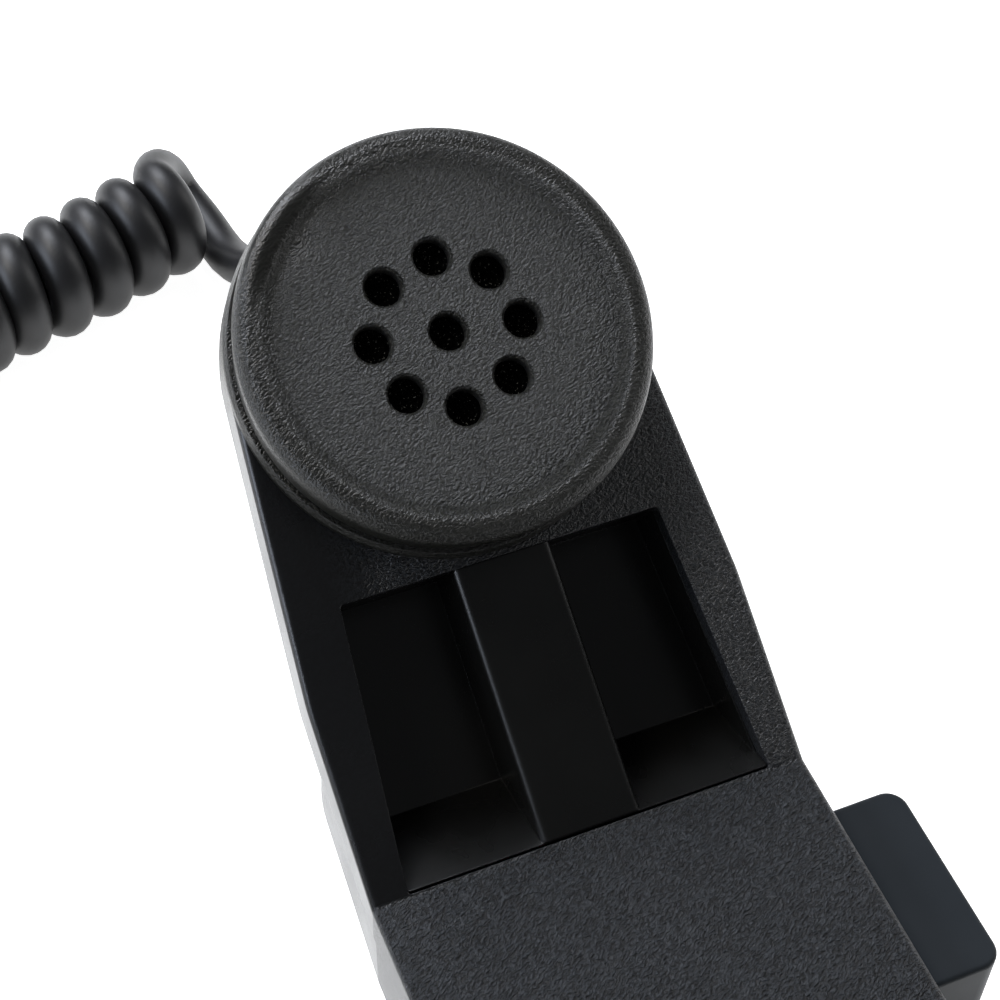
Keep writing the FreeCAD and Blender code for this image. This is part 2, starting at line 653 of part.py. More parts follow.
def plug_parts(start, way):
    """The two-pin plug on the far end, built along its own axis from the end of the cord."""
    frame = Placement(start, Rotation(Vector(0, 0, 1), Vector(way.x, way.y, 0)))
    sideways = frame.Rotation.multVec(Vector(1, 0, 0))
    turn = math.degrees(math.atan2(sideways.z, math.hypot(sideways.x, sideways.y)))
    frame = frame.multiply(Placement(Vector(), Rotation(Vector(0, 0, 1), turn)))
    boot = turned([(0, 0), (cord_radius + 0.7, 0), (5.0, 18.0), (5.0, 20.0), (0, 20.0)])
    outline = [(-10.4, -5.4, 4.0), (10.4, -5.4, 4.0), (10.4, 5.4, 4.0), (-10.4, 5.4, 4.0)]
    body = flat_outline(outline)
    body.translate(Vector(0, 0, 20.0))
    body = body.extrude(Vector(0, 0, 22.0))
    tops = [e for e in body.Edges if abs(e.CenterOfMass.z - 20) < 0.01 or abs(e.CenterOfMass.z - 42) < 0.01]
    body = body.makeFillet(1.0, tops)
    sleeves, rings, tips = [], [], []
    for side, radius, length in ((-1, 1.75, 9.4), (1, 1.25, 7.6)):
        across = Vector(side * pin_spacing / 2, 0, 42.0)
        collar = Part.makeCylinder(radius + 1.2, 1.2, across)
        sleeve = Part.makeCylinder(radius, length, across)
        sleeves.append(collar.fuse(sleeve).removeSplitter())
        ring = Part.makeCylinder(radius, 0.7, across + Vector(0, 0, length))
        rings.append(ring)
        tip = turned([(0, 0), (radius, 0), (radius * 0.72, 1.0), (radius, 2.2), (0.4, 4.0), (0, 4.0)])
        tip.translate(across + Vector(0, 0, length + 0.7))
        tips.append(tip)
    save("plug_boot", placed(frame, boot))
    save("plug_body", placed(frame, body))
    save("plug_sleeves", placed(frame, Part.Compound(sleeves)))
    save("plug_insulators", placed(frame, Part.Compound(rings)))
    save("plug_tips", placed(frame, Part.Compound(tips)))
    for side, length in ((-1, 9.4), (1, 7.6)):
        middle = frame.multVec(Vector(side * pin_spacing / 2, 0, 42.0 + 1.2 + (length - 1.2) / 2))
        print("plug pin", side, "middle", [round(v, 3) for v in middle], "length", length - 1.2)
    print("plug axis", [round(v, 5) for v in frame.Rotation.multVec(Vector(0, 0, 1))])


os.makedirs("parts", exist_ok=True)
save("front_shell", front_shell())
save("back_shell", back_shell())
save("seam_gasket", seam_gasket())
save("recess_insert", placed(mic_frame, recess_insert()))
cap_set("mic", mic_frame, mic_reach, mic_cap_height, 0.0, mic_hole_ring, 8, -11.5, (-6.0, 7.0))
cap_set("ear", ear_frame, ear_reach, ear_cap_height, 1.2, ear_hole_ring, 6, -9.5, (-4.5, 7.0))
save("shell_screws", shell_screws())
save("ptt_bar", ptt_bar())
pin_low, pin_high = Vector(pin_xy[0], pin_xy[1], 3.4), Vector(pin_xy[0], pin_xy[1], grip_height - plate)
save("ptt_pin", rod(pin_radius, pin_low, pin_high))
save("ptt_spring", ptt_spring())
switch_parts()
board_parts()
inner_wires()
exit_point, exit_way = strain_relief()
print("cord exit", [round(v, 3) for v in exit_point], [round(v, 4) for v in exit_way])
cord_end, cord_way = cord_parts(exit_point, exit_way)
plug_parts(cord_end, cord_way)
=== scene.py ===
import math

import bpy
import numpy as np
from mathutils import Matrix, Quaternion, Vector


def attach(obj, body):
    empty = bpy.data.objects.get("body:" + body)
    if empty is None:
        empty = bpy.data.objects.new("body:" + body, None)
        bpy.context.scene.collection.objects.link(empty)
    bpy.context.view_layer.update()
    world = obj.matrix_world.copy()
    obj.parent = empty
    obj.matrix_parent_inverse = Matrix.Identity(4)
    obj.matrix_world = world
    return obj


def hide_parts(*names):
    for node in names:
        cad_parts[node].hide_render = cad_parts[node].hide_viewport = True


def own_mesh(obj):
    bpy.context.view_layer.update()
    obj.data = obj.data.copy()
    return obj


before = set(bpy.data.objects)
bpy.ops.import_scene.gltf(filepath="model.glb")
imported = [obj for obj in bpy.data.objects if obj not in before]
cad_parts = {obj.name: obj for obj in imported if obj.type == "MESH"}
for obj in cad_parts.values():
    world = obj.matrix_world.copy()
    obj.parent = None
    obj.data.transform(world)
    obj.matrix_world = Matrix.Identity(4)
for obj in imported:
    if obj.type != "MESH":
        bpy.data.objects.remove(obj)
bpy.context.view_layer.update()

# ---- Camera ------------------------------------------------------------------
# A long portrait lens held above and behind the grip, looking down along the
# handset at its microphone head, and rolled a degree and a half.
camera_place = Vector((-0.099023, 0.074209, 0.274854))
camera_aim = Vector((0.074912, -0.002219, 0.0494))
camera_roll = math.radians(1.477)
camera = bpy.data.objects.new("camera", bpy.data.cameras.new("camera"))
camera.data.lens = 78.93
camera.data.sensor_width = 36.0
camera.data.clip_start = 0.01
camera.location = camera_place
camera.rotation_mode = "QUATERNION"
level = (camera_aim - camera_place).to_track_quat("-Z", "Y")
camera.rotation_quaternion = level @ Quaternion((0, 0, 1), camera_roll)
bpy.context.scene.collection.objects.link(camera)
bpy.context.scene.camera = camera
bpy.context.scene.view_settings.view_transform = "Standard"


# ---- Curly cord ----------------------------------------------------------------
# Four conductors in one round jacket of soft PVC, wound hot on a rod, so that
# most of it lies as a tight spring. A straight lead runs into the rubber boot on
# the microphone head, and the last turn unrolls into a tail with the plug.
def cord_line(name, points, radius):
    """One open NURBS line of order 3 with these control points, as thick as radius says. The
    radius is each point's own, so that the line's box holds it, and the bevel depth is 1. No
    radius gives a bare line in finer steps."""
    curve = bpy.data.curves.new(name, "CURVE")
    curve.dimensions = "3D"
    spline = curve.splines.new("NURBS")
    spline.points.add(len(points) - 1)
    spline.points.foreach_set("co", np.c_[points, np.ones(len(points))].ravel())
    spline.points.foreach_set("radius", np.full(len(points), radius))
    spline.order_u = 3
    spline.use_endpoint_u = True
    spline.resolution_u = 3 if radius else 24
    curve.bevel_depth = 1.0 if radius else 0.0
    curve.bevel_resolution = 8
    curve.use_fill_caps = True
    made = bpy.data.objects.new(name, curve)
    bpy.context.scene.collection.objects.link(made)
    return made


def points_along(route):
    """Points read from the NURBS line of a route, with the distance along it to each."""
    line = cord_line("route", route, 0.0)
    mesh = bpy.data.meshes.new_from_object(line)
    points = np.empty(len(mesh.vertices) * 3)
    mesh.vertices.foreach_get("co", points)
    points = points.reshape(-1, 3)
    bpy.data.objects.remove(line)
    steps = np.linalg.norm(np.diff(points, axis=0), axis=1)
    return points, np.r_[0.0, np.cumsum(steps)]


def turns_on(route, radius, turns, first_angle, lean, per_turn=16):
    """A left-handed helix round a level route: the point at a distance along the route,
    plus radius times the cosine of the turn angle to the route's right and its sine up,
    with the top of each turn pushed on by lean and its bottom back by the same. The
    control points stand out by one over the cosine of half a step."""
    points, along = points_along(route)
    count = int(round(turns * per_turn))
    share = np.linspace(0.0, along[-1], count + 1)
    centre = np.stack([np.interp(share, along, points[:, k]) for k in range(3)], axis=1)
    way = np.gradient(centre, axis=0)
    way /= np.linalg.norm(way, axis=1)[:, None]
    right = np.stack([way[:, 1], -way[:, 0], 0 * share], axis=1)
    angle = first_angle + 2 * math.pi * turns * share / along[-1]
    out = radius / math.cos(math.pi / per_turn)
    up = np.array((0.0, 0.0, 1.0))
    side, rise = np.cos(angle)[:, None], np.sin(angle)[:, None]
    return centre + out * (side * right + rise * up) + lean * rise * way


mm = 0.001
cord_diameter = 0.0074
turn_radius = 6.8 * mm
lead_route = np.array((
    (138.955, 0.0, 33.846), (154.086, 0.0, 24.095), (167.4, 2.6, 10.6), (178.6, 5.5, 3.7),
    (190.5, 6.7, 3.7), (198.8, 8.7, 4.4), (199.7, 10.2, 9.2), (196.6, 12.8, 13.6),
)) * mm
coil_route = np.array((
    (187.8, 12.7, 10.5), (180.0, 31.9, 10.5), (176.0, 52.9, 10.5), (162.6, 80.8, 10.5),
    (125.0, 89.5, 10.5), (80.0, 90.0, 10.5), (22.0, 89.0, 10.5),
)) * mm
tail_route = np.array((
    (21.0, 94.8, 3.6), (14.5, 98.4, 3.6), (4.0, 95.4, 3.6), (-8.0, 88.4, 4.4),
    (-22.0, 85.0, 5.6), (-44.0, 86.0, 5.6),
)) * mm
coil_turns = 27 + 213 / 360
first_angle = math.radians(57)
turn_lean = 0.9 * mm
helix = turns_on(coil_route, turn_radius, coil_turns, first_angle, turn_lean)
curly_cord = cord_line("curly_cord", np.vstack([lead_route, helix, tail_route]), cord_diameter / 2)
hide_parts("cord_lead", "cord_coil", "cord_tail")
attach(curly_cord, "handset")


# ---- Table and light -----------------------------------------------------------
# A pale laminate table under a white tent: a wide lamp above the far end, a small
# one high on its left, a soft one on each side, and dim cloth all round. The near
# end is left dark, so that flat black faces turned to it stay deep.
def linear(code):
    """An sRGB colour written as six hex digits, as linear red, green, blue and alpha 1."""
    part = np.array([int(code[k:k + 2], 16) for k in (0, 2, 4)]) / 255
    part = np.where(part <= 0.04045, part / 12.92, ((part + 0.055) / 1.055) ** 2.4)
    return (*part.tolist(), 1.0)


def add(tree, kind, settings=None, feeds=None):
    """Adds a shader node, sets its settings and feeds its sockets with values or links."""
    made = tree.nodes.new("ShaderNode" + kind)
    for key, value in (settings or {}).items():
        setattr(made, key, value)
    for key, value in (feeds or {}).items():
        if isinstance(value, bpy.types.NodeSocket):
            tree.links.new(value, made.inputs[key])
        else:
            made.inputs[key].default_value = value
    return made.outputs


def finish_named(name, constants):
    """A new material: its Principled shader with these constants, and the tree to add to."""
    material = bpy.data.materials.new(name)
    material.use_nodes = True
    shader = material.node_tree.nodes["Principled BSDF"]
    for key, value in constants.items():
        shader.inputs[key].default_value = value
    return material, material.node_tree, shader.inputs


def surface(name, points, faces):
    """A smooth mesh piece from an array of points and a list of faces, linked into the scene."""
    mesh = bpy.data.meshes.new(name)
    mesh.from_pydata(points.tolist(), [], faces)
    mesh.shade_smooth()
    made = bpy.data.objects.new(name, mesh)
    bpy.context.scene.collection.objects.link(made)
    return made


table_half = 2.5
table_top = -0.1 * mm
corner = np.array([(-1, -1), (1, -1), (1, 1), (-1, 1)]) * table_half
table = surface("table", np.c_[corner, np.full(4, table_top)], [[0, 1, 2, 3]])
laminate, tree, shader = finish_named("pale_matt_laminate", {
    "Base Color": linear("f2f2f0"), "Roughness": 0.6,
    "Emission Color": (1.0, 1.0, 1.0, 1.0), "Emission Strength": 0.95})
table.data.materials.append(laminate)

tent = bpy.data.worlds.new("tent")
tent.use_nodes = True
tent.node_tree.nodes["Background"].inputs["Color"].default_value = linear("e8ebef")
tent.node_tree.nodes["Background"].inputs["Strength"].default_value = 0.12
bpy.context.scene.world = tent
lamps = (
    ("far_lamp", (0.9, 0.12, 0.95), (0.0, 0.0, 0.02), 0.55, 0.55, 12.5, "f2f6ff"),
    ("top_lamp", (0.48, 0.5, 1.0), (0.08, 0.0, 0.05), 0.3, 0.3, 4.0, "fffaf2"),
    ("left_lamp", (0.25, 0.95, 0.55), (0.08, 0.0, 0.04), 0.8, 0.5, 8.0, "e6efff"),
    ("right_lamp", (0.25, -1.05, 0.6), (0.05, 0.0, 0.04), 0.5, 0.8, 3.0, "ffffff"),
)
for name, place, aim, wide, high, power, tint in lamps:
    lamp = bpy.data.lights.new(name, "AREA")
    lamp.shape = "RECTANGLE"
    lamp.size, lamp.size_y, lamp.energy = wide, high, power
    lamp.color = linear(tint)[:3]
    stand = bpy.data.objects.new(name, lamp)
    stand.location = place
    turn = (Vector(aim) - Vector(place)).to_track_quat("-Z", "Y")
    stand.rotation_euler = turn.to_euler()
    bpy.context.scene.collection.objects.link(stand)


# ---- Back and front shells -----------------------------------------------------
# Two halves moulded in black ABS in tools etched with a fine leather grain, shut
# by six screws from behind on a thin rubber gasket. The grain is short worms and
# pebbles a third of a millimetre wide that run slantwise. Its high spots are painted
# in a paler colour, which is partly wear and partly painted glints.
def pebbled(name, colour, wear_and_glint, roughness, spread, pebble, depth, mask):
    """Moulded plastic with an etched grain: noise as wide as pebble, drawn out to 1.7 times
    that along a slant, with noise less than half as wide on it. depth is the bump's
    distance. mask gives the share of the grain from place to place, and what it leaves
    smooth is glossier by spread. Edges are broken by a 0.3 mm radius."""
    material, tree, shader = finish_named(name, {"IOR": 1.52, "Specular IOR Level": 0.5})
    spot = add(tree, "TexCoord")["Object"]
    slant = add(tree, "Mapping", {"vector_type": "TEXTURE"}, {
        "Vector": spot, "Rotation": (0.0, 0.0, math.radians(-67)), "Scale": (1.7, 1.0, 1.0)})
    worms = add(tree, "TexNoise", feeds={"Vector": slant["Vector"], "Scale": 1 / pebble,
                                         "Detail": 1.0, "Distortion": 0.6})
    fine = add(tree, "TexNoise", feeds={"Vector": spot, "Scale": 2.2 / pebble, "Detail": 2.0})
    height = add(tree, "Math", {"operation": "MULTIPLY_ADD"},
                 {0: fine["Fac"], 1: 0.28, 2: worms["Fac"]})
    patch = add(tree, "TexNoise", feeds={"Vector": spot, "Scale": 1 / (14 * mm), "Detail": 4.0})
    share = mask(tree, spot)
    # The grain's high spots are painted in the paler second colour: partly wear, partly painted
    # glints.
    crest_wear_and_glint = add(tree, "MapRange", feeds={"Value": height["Value"], "From Min": 0.52,
                                         "From Max": 0.76, "To Max": share})
    tone = add(tree, "Mix", {"data_type": "RGBA"},
               {"Factor": crest_wear_and_glint["Result"], "A": linear(colour), "B": linear(wear_and_glint)})
    tree.links.new(tone["Result"], shader["Base Color"])
    gloss = add(tree, "MapRange", feeds={"Value": patch["Fac"], "From Min": 0.3, "From Max": 0.7,
                                         "To Min": roughness - 0.04, "To Max": roughness + 0.04})
    rough = add(tree, "Math", {"operation": "MULTIPLY_ADD"},
                {0: share, 1: spread, 2: gloss["Result"]})
    tree.links.new(rough["Value"], shader["Roughness"])
    rounded = add(tree, "Bevel", {"samples": 4}, {"Radius": 0.3 * mm})
    skin = add(tree, "Bump", feeds={"Height": height["Value"], "Distance": depth,
                                    "Strength": share, "Normal": rounded["Normal"]})
    tree.links.new(skin["Normal"], shader["Normal"])
    return material


def paint(material, *nodes):
    """Gives a finish to every slot of these CAD nodes."""
    for name in nodes:
        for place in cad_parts[name].material_slots:
            place.material = material


def face_only(tree, spot):
    """The shells' grain, and with it the share of the paler crests, which are partly
    wear and partly painted glints: full on the grip's face and the back, and three
    tenths on the side walls, which are more than 30.9 mm from the middle. On the head
    it is half as strong, and from 16 to 24 mm left of the middle it fades to a
    sixteenth on the left rail."""
    part = add(tree, "SeparateXYZ", feeds={"Vector": spot})
    side = add(tree, "Math", {"operation": "ABSOLUTE"}, {0: part["Y"]})
    wall = add(tree, "MapRange", feeds={"Value": side["Value"], "From Min": 30.8 * mm,
                                        "From Max": 31.0 * mm, "To Min": 1.0, "To Max": 0.3})
    left = add(tree, "MapRange", feeds={"Value": part["Y"], "From Min": 16.0 * mm,
                                        "From Max": 24.0 * mm})
    head = add(tree, "MapRange", feeds={"Value": part["X"], "From Min": 35.8 * mm,
                                        "From Max": 36.4 * mm})
    calm = add(tree, "MapRange", feeds={"Value": left["Result"], "To Min": 0.48, "To Max": 0.94})
    rail = add(tree, "Math", {"operation": "MULTIPLY"}, {0: calm["Result"], 1: head["Result"]})
    rest = add(tree, "Math", {"operation": "SUBTRACT"}, {0: 1.0, 1: rail["Value"]})
    return add(tree, "Math", {"operation": "MULTIPLY"},
               {0: wall["Result"], 1: rest["Value"]})["Value"]


# The paler second colour on the grain's high spots is partly wear and partly painted glints.
shell_abs = pebbled("leather_grained_abs", "0d0d0e", "2c2f33", 0.26, 0.16, 0.34 * mm, 0.8 * mm,
                    face_only)
paint(shell_abs, "front_shell", "back_shell")

rubber, tree, shader = finish_named("moulded_epdm_rubber", {
    "Base Color": linear("0e0e0f"), "Roughness": 0.62, "IOR": 1.5})
spot = add(tree, "TexCoord")["Object"]
bloom = add(tree, "TexNoise", feeds={"Vector": spot, "Scale": 240.0, "Detail": 5.0})
shade = add(tree, "Mix", {"data_type": "RGBA"},
            {"Factor": bloom["Fac"], "A": linear("0c0c0d"), "B": linear("1b1b1c")})
tree.links.new(shade["Result"], shader["Base Color"])
skin = add(tree, "Bump", feeds={"Height": bloom["Fac"], "Distance": 0.04 * mm})
tree.links.new(skin["Normal"], shader["Normal"])
paint(rubber, "seam_gasket", "mic_gasket", "ear_gasket", "strain_relief", "plug_boot")


# ---- Jacket of the cord ----------------------------------------------------------
# Soft PVC with a satin skin: drawn hot from a die, so its faint marks run round and
# along it, and where turns rub it is a little paler.
jacket, tree, shader = finish_named("satin_pvc_jacket", {"Roughness": 0.47, "IOR": 1.5})
spot = add(tree, "TexCoord")["Object"]
drag = add(tree, "TexNoise", feeds={"Vector": spot, "Scale": 1 / (9 * mm), "Detail": 3.0})
tone = add(tree, "Mix", {"data_type": "RGBA"},
           {"Factor": drag["Fac"], "A": linear("0e0e10"), "B": linear("151517")})
tree.links.new(tone["Result"], shader["Base Color"])
fine = add(tree, "TexNoise", feeds={"Vector": spot, "Scale": 1 / (0.6 * mm), "Detail": 2.0})
skin = add(tree, "Bump", feeds={"Height": fine["Fac"], "Distance": 0.01 * mm})
tree.links.new(skin["Normal"], shader["Normal"])
curly_cord.data.materials.append(jacket)
paint(jacket, "inner_cable")


# ---- Recess insert ---------------------------------------------------------------
# A separate black ABS tray with a middle rib, moulded in a polished tool and
# pressed into the window of the plate. It is smooth, with only faint flow marks.
def smooth_moulded(name, colour, flow, roughness, edge=0.3 * mm, level=0.5):
    """Polished moulded plastic: two close tones in soft patches 12 mm wide, a skin of fine
    ripples 0.8 mm wide, and edges broken by the radius edge. level is the specular level."""
    material, tree, shader = finish_named(name, {"IOR": 1.5, "Specular IOR Level": level})
    spot = add(tree, "TexCoord")["Object"]
    patch = add(tree, "TexNoise", feeds={"Vector": spot, "Scale": 1 / (12 * mm), "Detail": 3.0})
    tone = add(tree, "Mix", {"data_type": "RGBA"},
               {"Factor": patch["Fac"], "A": linear(colour), "B": linear(flow)})
    tree.links.new(tone["Result"], shader["Base Color"])
    gloss = add(tree, "MapRange", feeds={"Value": patch["Fac"], "From Min": 0.3, "From Max": 0.7,
                                         "To Min": roughness - 0.04, "To Max": roughness + 0.04})
    tree.links.new(gloss["Result"], shader["Roughness"])
    ripple = add(tree, "TexNoise", feeds={"Vector": spot, "Scale": 1 / (0.8 * mm), "Detail": 2.0})
    rounded = add(tree, "Bevel", {"samples": 4}, {"Radius": edge})
    skin = add(tree, "Bump", feeds={"Height": ripple["Fac"], "Distance": 0.006 * mm,
                                    "Normal": rounded["Normal"]})
    tree.links.new(skin["Normal"], shader["Normal"])
    return material


tray_abs = smooth_moulded("polished_moulded_abs", "080807", "0d0d0c", 0.28)
paint(tray_abs, "recess_insert")


# ---- Screw caps and collars --------------------------------------------------------
# Each end is closed by a screw cap of black phenolic with a bead round its edge, a
# grained and slightly sunk face, and sound holes. A thin collar of the same stands
# under it. Hands polish the bead, so the grain is weaker there.
mic_tilt, mic_reach = math.radians(32.2), 68.0 * mm
ear_tilt, ear_reach = math.radians(20.0), 40.0 * mm
grip_half, grip_top = 36.0 * mm, 25.0 * mm
mic_middle = Vector((grip_half + mic_reach * math.cos(mic_tilt), 0,
                     grip_top + mic_reach * math.sin(mic_tilt)))
ear_middle = Vector((-grip_half - ear_reach * math.cos(ear_tilt), 0,
                     grip_top + ear_reach * math.sin(ear_tilt)))


def faded_bead(middle, tilt):
    """The grain's strength on a cap, and with it the share of the paler crests, which are
    partly wear and partly painted glints: full out to 23.4 mm from its axis and two
    fifths on the bead, and less than half of that within 4 mm of a place at the rim
    that hands have polished."""
    def mask(tree, spot):
        own = add(tree, "Mapping", {"vector_type": "TEXTURE"},
                  {"Vector": spot, "Location": middle, "Rotation": (0.0, tilt, 0.0)})
        shares = []
        for x, y, near, far, at_near, at_far in (
                (0.0, 0.0, 23.4, 25.6, 1.0, 0.4), (19.5, 19.5, 4.0, 13.0, 0.45, 1.0)):
            flat = add(tree, "VectorMath", {"operation": "MULTIPLY_ADD"},
                       {0: own["Vector"], 1: (1.0, 1.0, 0.0), 2: (-x * mm, -y * mm, 0.0)})
            out = add(tree, "VectorMath", {"operation": "LENGTH"}, {0: flat["Vector"]})
            shares.append(add(tree, "MapRange", {"interpolation_type": "SMOOTHSTEP"}, {
                "Value": out["Value"], "From Min": near * mm, "From Max": far * mm,
                "To Min": at_near, "To Max": at_far})["Result"])
        return add(tree, "Math", {"operation": "MULTIPLY"}, {0: shares[0], 1: shares[1]})["Value"]
    return mask


for name, middle, tilt in (("mic", mic_middle, -mic_tilt), ("ear", ear_middle, ear_tilt)):
    # The paler second colour on the grain's high spots is partly wear and partly painted glints.
    cap = pebbled(f"grained_phenolic_{name}", "0e0e0b", "25251e", 0.31, 0.03, 0.32 * mm,
                  1.2 * mm, faded_bead(middle, tilt))
    paint(cap, f"{name}_cap", f"{name}_collar")


# ---- Dust pads -------------------------------------------------------------------
# A disc of black open-cell foam lies between each capsule and its cap and keeps grit
# out. It is soft, a little swollen in the middle, and shows through the sound holes.
# Sparse pale specks are painted on it as glints of its cells.
def foam_disc(name, middle, tilt, radius, low, edge_high, swell):
    """A disc about a tilted axis: its top falls from swell above its edge as one minus the
    square of the distance from the axis, with ripples of up to 0.08 mm from two pairs of
    crossed sines, and its rim is half a circle. The first and last rings close to one
    point each."""
    steps, sides = 48, 144
    half, level = (edge_high - low) / 2, (edge_high + low) / 2
    share = np.linspace(0, 1, steps + 1)[1:]
    inside = radius - half
    bend = np.linspace(math.pi / 2, -math.pi / 2, 9)[1:]
    reach = np.r_[share * inside, inside + half * np.cos(bend), share[::-1][1:] * inside]
    height = np.r_[edge_high + swell * (1 - share ** 2), level + half * np.sin(bend),
                   np.full(steps - 1, low)]
    turn = np.arange(sides) * 2 * math.pi / sides
    x, y = reach[:, None] * np.cos(turn), reach[:, None] * np.sin(turn)
    ripple = (np.sin(x * 4100 + 1) * np.sin(y * 3700)
              + np.sin((x + y) * 6100) * np.sin((x - y) * 5300))
    z = height[:, None] + 0.04 * mm * ripple
    rings = len(reach)
    grid = np.arange(rings * sides).reshape(rings, sides)
    a, b = grid[:-1], grid[1:]
    quads = np.stack([a, b, np.roll(b, -1, 1), np.roll(a, -1, 1)], axis=-1).reshape(-1, 4)
    top, bottom = rings * sides, rings * sides + 1
    fan_top = np.stack([np.full(sides, top), grid[0], np.roll(grid[0], -1)], axis=-1)
    fan_low = np.stack([np.full(sides, bottom), np.roll(grid[-1], -1), grid[-1]], axis=-1)
    flat = np.c_[x.ravel(), y.ravel(), z.ravel()]
    flat = np.r_[flat, [(0, 0, edge_high + swell), (0, 0, low)]]
    turned = flat @ np.array(((math.cos(tilt), 0, -math.sin(tilt)), (0, 1, 0),
                              (math.sin(tilt), 0, math.cos(tilt))))
    return surface(name, turned + np.array(middle),
                   quads.tolist() + fan_top.tolist() + fan_low.tolist())


foam, tree, shader = finish_named("open_cell_foam", {
    "Roughness": 0.9, "IOR": 1.4, "Specular IOR Level": 0.1})
spot = add(tree, "TexCoord")["Object"]
cells = add(tree, "TexVoronoi", {"feature": "F1"}, {"Vector": spot, "Scale": 1 / (0.5 * mm)})
# Sparse pale grey specks painted on the black foam: painted glints of its cells.
glint_noise = add(tree, "TexNoise", feeds={"Vector": spot, "Scale": 1 / (0.3 * mm), "Detail": 3.0})
painted_glints = add(tree, "MapRange", feeds={"Value": glint_noise["Fac"], "From Min": 0.64, "From Max": 0.7})
shade = add(tree, "Mix", {"data_type": "RGBA"},
            {"Factor": painted_glints["Result"], "A": linear("020202"), "B": linear("8c8c84")})
tree.links.new(shade["Result"], shader["Base Color"])
pits = add(tree, "Bump", {"invert": True}, {"Height": cells["Distance"], "Distance": 0.3 * mm})
tree.links.new(pits["Normal"], shader["Normal"])
for name, middle, tilt, edge_high, swell in (
        ("mic", mic_middle, -mic_tilt, 7.8, 0.5), ("ear", ear_middle, ear_tilt, 7.6, 0.1)):
    pad = foam_disc(f"{name}_foam_pad", middle, tilt, 21.6 * mm, 7.05 * mm, edge_high * mm,
                    swell * mm)
    pad.data.materials.append(foam)
    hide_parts(f"{name}_dust_pad")
    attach(pad, "handset")


# ---- Push-to-talk key -----------------------------------------------------------
# A long hinged bar of slate-tinted ABS with a satin finish, on a ground steel pin at
# its far end, with a music-wire spring under the near end.
def metal(name, colour, tarnish, roughness, mark, along=(1.0, 1.0, 1.0)):
    """Bare or plated metal: two close tones in patches 3 mm wide, and tool marks as wide as
    mark, stretched by along, that roughen it and raise a faint skin."""
    material, tree, shader = finish_named(name, {"Metallic": 1.0})
    spot = add(tree, "TexCoord")["Object"]
    patch = add(tree, "TexNoise", feeds={"Vector": spot, "Scale": 1 / (3 * mm), "Detail": 4.0})
    tone = add(tree, "Mix", {"data_type": "RGBA"},
               {"Factor": patch["Fac"], "A": linear(colour), "B": linear(tarnish)})
    tree.links.new(tone["Result"], shader["Base Color"])
    drawn = add(tree, "Mapping", {"vector_type": "TEXTURE"}, {"Vector": spot, "Scale": along})
    marks = add(tree, "TexNoise", feeds={"Vector": drawn["Vector"], "Scale": 1 / mark,
                                         "Detail": 2.0})
    gloss = add(tree, "MapRange", feeds={"Value": marks["Fac"], "From Min": 0.3, "From Max": 0.7,
                                         "To Min": roughness - 0.07, "To Max": roughness + 0.07})
    tree.links.new(gloss["Result"], shader["Roughness"])
    skin = add(tree, "Bump", feeds={"Height": marks["Fac"], "Distance": 0.004 * mm})
    tree.links.new(skin["Normal"], shader["Normal"])
    return material


key_abs = smooth_moulded("satin_slate_abs", "292d31", "2e3236", 0.42, level=0.1)
paint(key_abs, "ptt_bar")
ground_steel = metal("ground_steel", "b9babb", "a3a4a6", 0.22, 0.2 * mm, (1.0, 1.0, 12.0))
music_wire = metal("drawn_music_wire", "8d8e90", "6f7072", 0.3, 0.2 * mm, (1.0, 6.0, 1.0))
paint(ground_steel, "ptt_pin")


def return_spring(near, length, middle, mean, wire, turns):
    """A wire along a helix about a line parallel to Y: the section is a circle in the plane of
    the line and the turn angle, and the rise along Y slows to nothing at both ends, as a
    half cosine mixed with an even rise, so that the end turns lie nearly flat."""
    per_turn, round_wire = 36, 12
    share = np.linspace(0, 1, turns * per_turn + 1)
    turn = 2 * math.pi * turns * share
    even = 0.55 * share + 0.45 * (1 - np.cos(math.pi * share)) / 2
    section = np.arange(round_wire) * 2 * math.pi / round_wire
    reach = mean + wire * np.cos(section)[None, :]
    x = middle[0] + reach * np.cos(turn)[:, None]
    z = middle[1] + reach * np.sin(turn)[:, None]
    y = near + wire + (length - 2 * wire) * even[:, None] + wire * np.sin(section)[None, :]
    grid = np.arange(x.size).reshape(x.shape)
    a, b = grid[:-1], grid[1:]
    quads = np.stack([a, np.roll(a, -1, 1), np.roll(b, -1, 1), b], axis=-1).reshape(-1, 4)
    ends = [grid[0][::-1].tolist(), grid[-1].tolist()]
    return surface("return_spring", np.c_[x.ravel(), y.ravel(), z.ravel()],
                   quads.tolist() + ends)


spring = return_spring(near=-33.5 * mm, length=11.4 * mm, middle=(5.0 * mm, 12.6 * mm),
                       mean=2.5 * mm, wire=0.3 * mm, turns=7)
spring.data.materials.append(music_wire)
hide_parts("ptt_spring")
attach(spring, "handset")
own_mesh(spring)


# ---- Switch ----------------------------------------------------------------------
# A small microswitch in a black phenolic case, with a plunger of red acetal, on a
# bracket folded from zinc-plated sheet and held by two screws. The plating is
# bluish, with faint rolling lines along the sheet.
zinc = metal("zinc_plated_steel", "b4bac0", "8f979e", 0.32, 0.3 * mm, (8.0, 1.0, 1.0))
switch_case = smooth_moulded("moulded_phenolic_case", "161412", "1e1b19", 0.38, 0.2 * mm)
red_acetal = smooth_moulded("red_acetal", "8c1f1a", "a02a22", 0.3, 0.2 * mm)
paint(switch_case, "switch_body")
paint(red_acetal, "switch_plunger")
paint(zinc, "switch_bracket", "bracket_screws", "board_screws", "shell_screws")


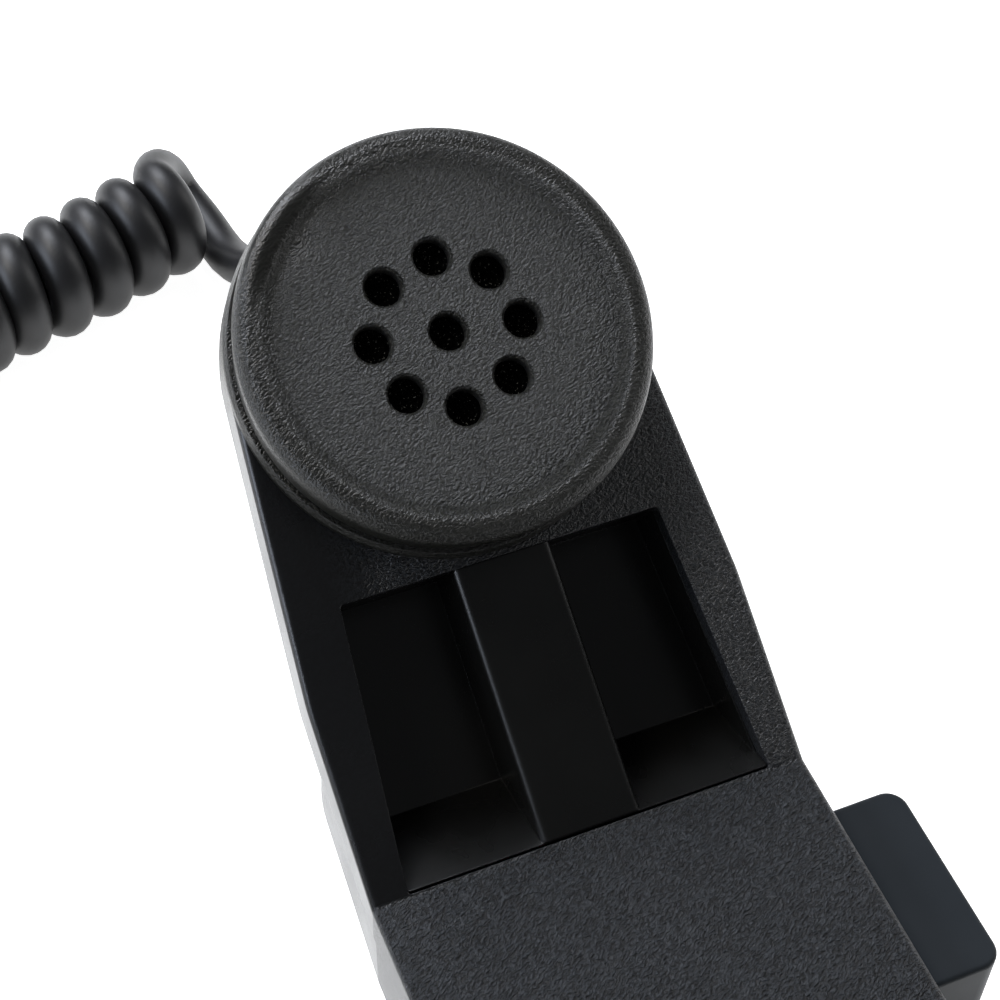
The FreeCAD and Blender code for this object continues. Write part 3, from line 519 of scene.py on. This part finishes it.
# ---- Microphone and earpiece inserts -----------------------------------------------
# Behind each foam pad sits a capsule in a case pressed from aluminium sheet, in a cup
# of black polystyrene, on two leaf springs of nickel-plated bronze.
aluminium = metal("pressed_aluminium", "c2c4c6", "aeb1b4", 0.34, 0.4 * mm)
nickel = metal("nickel_plated_bronze", "c5bfb2", "aba596", 0.2, 0.3 * mm, (1.0, 5.0, 1.0))
polystyrene = smooth_moulded("moulded_polystyrene", "121213", "19191a", 0.32)
paint(aluminium, "mic_capsule", "ear_capsule")
paint(nickel, "mic_contacts", "ear_contacts", "terminal_screws")
paint(polystyrene, "mic_cup", "ear_cup")


# ---- Terminal board ----------------------------------------------------------------
# The cord ends at a six-way clamp block of grey nylon on a small board of glass and
# epoxy. The weave of the glass shows faintly through the green lacquer.
board, tree, shader = finish_named("lacquered_glass_epoxy", {"Roughness": 0.3, "Coat Weight": 0.4})
spot = add(tree, "TexCoord")["Object"]
weave = add(tree, "TexChecker", feeds={"Vector": spot, "Scale": 1 / (0.8 * mm)})
shade = add(tree, "Mix", {"data_type": "RGBA"},
            {"Factor": weave["Fac"], "A": linear("1d5a33"), "B": linear("236a3d")})
tree.links.new(shade["Result"], shader["Base Color"])
paint(board, "terminal_board")
grey_nylon = smooth_moulded("grey_nylon", "8a8d8c", "9a9d9c", 0.45, 0.2 * mm)
paint(grey_nylon, "terminal_block")


# ---- Inner wires -------------------------------------------------------------------
# Stranded wires in thin PVC, each with its own colour. The cord's four conductors lie
# side by side from black on the inside to green, 1.8 mm apart, so the colour steps
# with the distance across the handset.
def insulated(name, first, step, colours):
    """Glossy PVC insulation whose colour steps every step metres of Y from first."""
    shade = linear(colours[0])
    material, tree, shader = finish_named(name, {
        "Base Color": shade, "Roughness": 0.33, "IOR": 1.53})
    spot = add(tree, "TexCoord")["Object"]
    across = add(tree, "SeparateXYZ", feeds={"Vector": spot})
    for k, colour in enumerate(colours[1:]):
        beyond = add(tree, "Math", {"operation": "GREATER_THAN"},
                     {0: across["Y"], 1: first + (k + 0.5) * step})
        shade = add(tree, "Mix", {"data_type": "RGBA"},
                    {"Factor": beyond["Value"], "A": shade, "B": linear(colour)})["Result"]
    if len(colours) > 1:
        tree.links.new(shade, shader["Base Color"])
    fine = add(tree, "TexNoise", feeds={"Vector": spot, "Scale": 1 / (0.5 * mm), "Detail": 2.0})
    skin = add(tree, "Bump", feeds={"Height": fine["Fac"], "Distance": 0.008 * mm})
    tree.links.new(skin["Normal"], shader["Normal"])
    return material


paint(insulated("cord_conductor_pvc", 8.4 * mm, 1.8 * mm,
                ("1a1a1c", "a8261f", "d8d6cf", "2f6a3c")), "cord_conductors")
paint(insulated("mic_wire_pvc", 5.2 * mm, 1.4 * mm, ("b3231d", "1b1b1d")), "mic_wires")
paint(insulated("ear_wire_pvc", 11.2 * mm, 1.6 * mm, ("24518f", "c9a63a")), "ear_wires")
paint(insulated("switch_wire_pvc", 0.0, 0.0, ("24518f",)), "switch_wires")


# ---- Plug --------------------------------------------------------------------------
# A two-pin plug: a body moulded in black phenolic with a rubber boot, and pins turned
# from brass and nickel plated, each with a tip behind a white insulating ring.
plug_phenolic = smooth_moulded("moulded_black_phenolic", "151413", "1c1b19", 0.34)
bright_nickel = metal("nickel_plated_brass", "cfcabd", "bdb7a8", 0.16, 0.2 * mm, (1.0, 8.0, 8.0))
white_ring = smooth_moulded("white_polyamide", "e4e1d8", "d9d5ca", 0.4, 0.1 * mm)
paint(plug_phenolic, "plug_body")
paint(bright_nickel, "plug_sleeves", "plug_tips")
paint(white_ring, "plug_insulators")
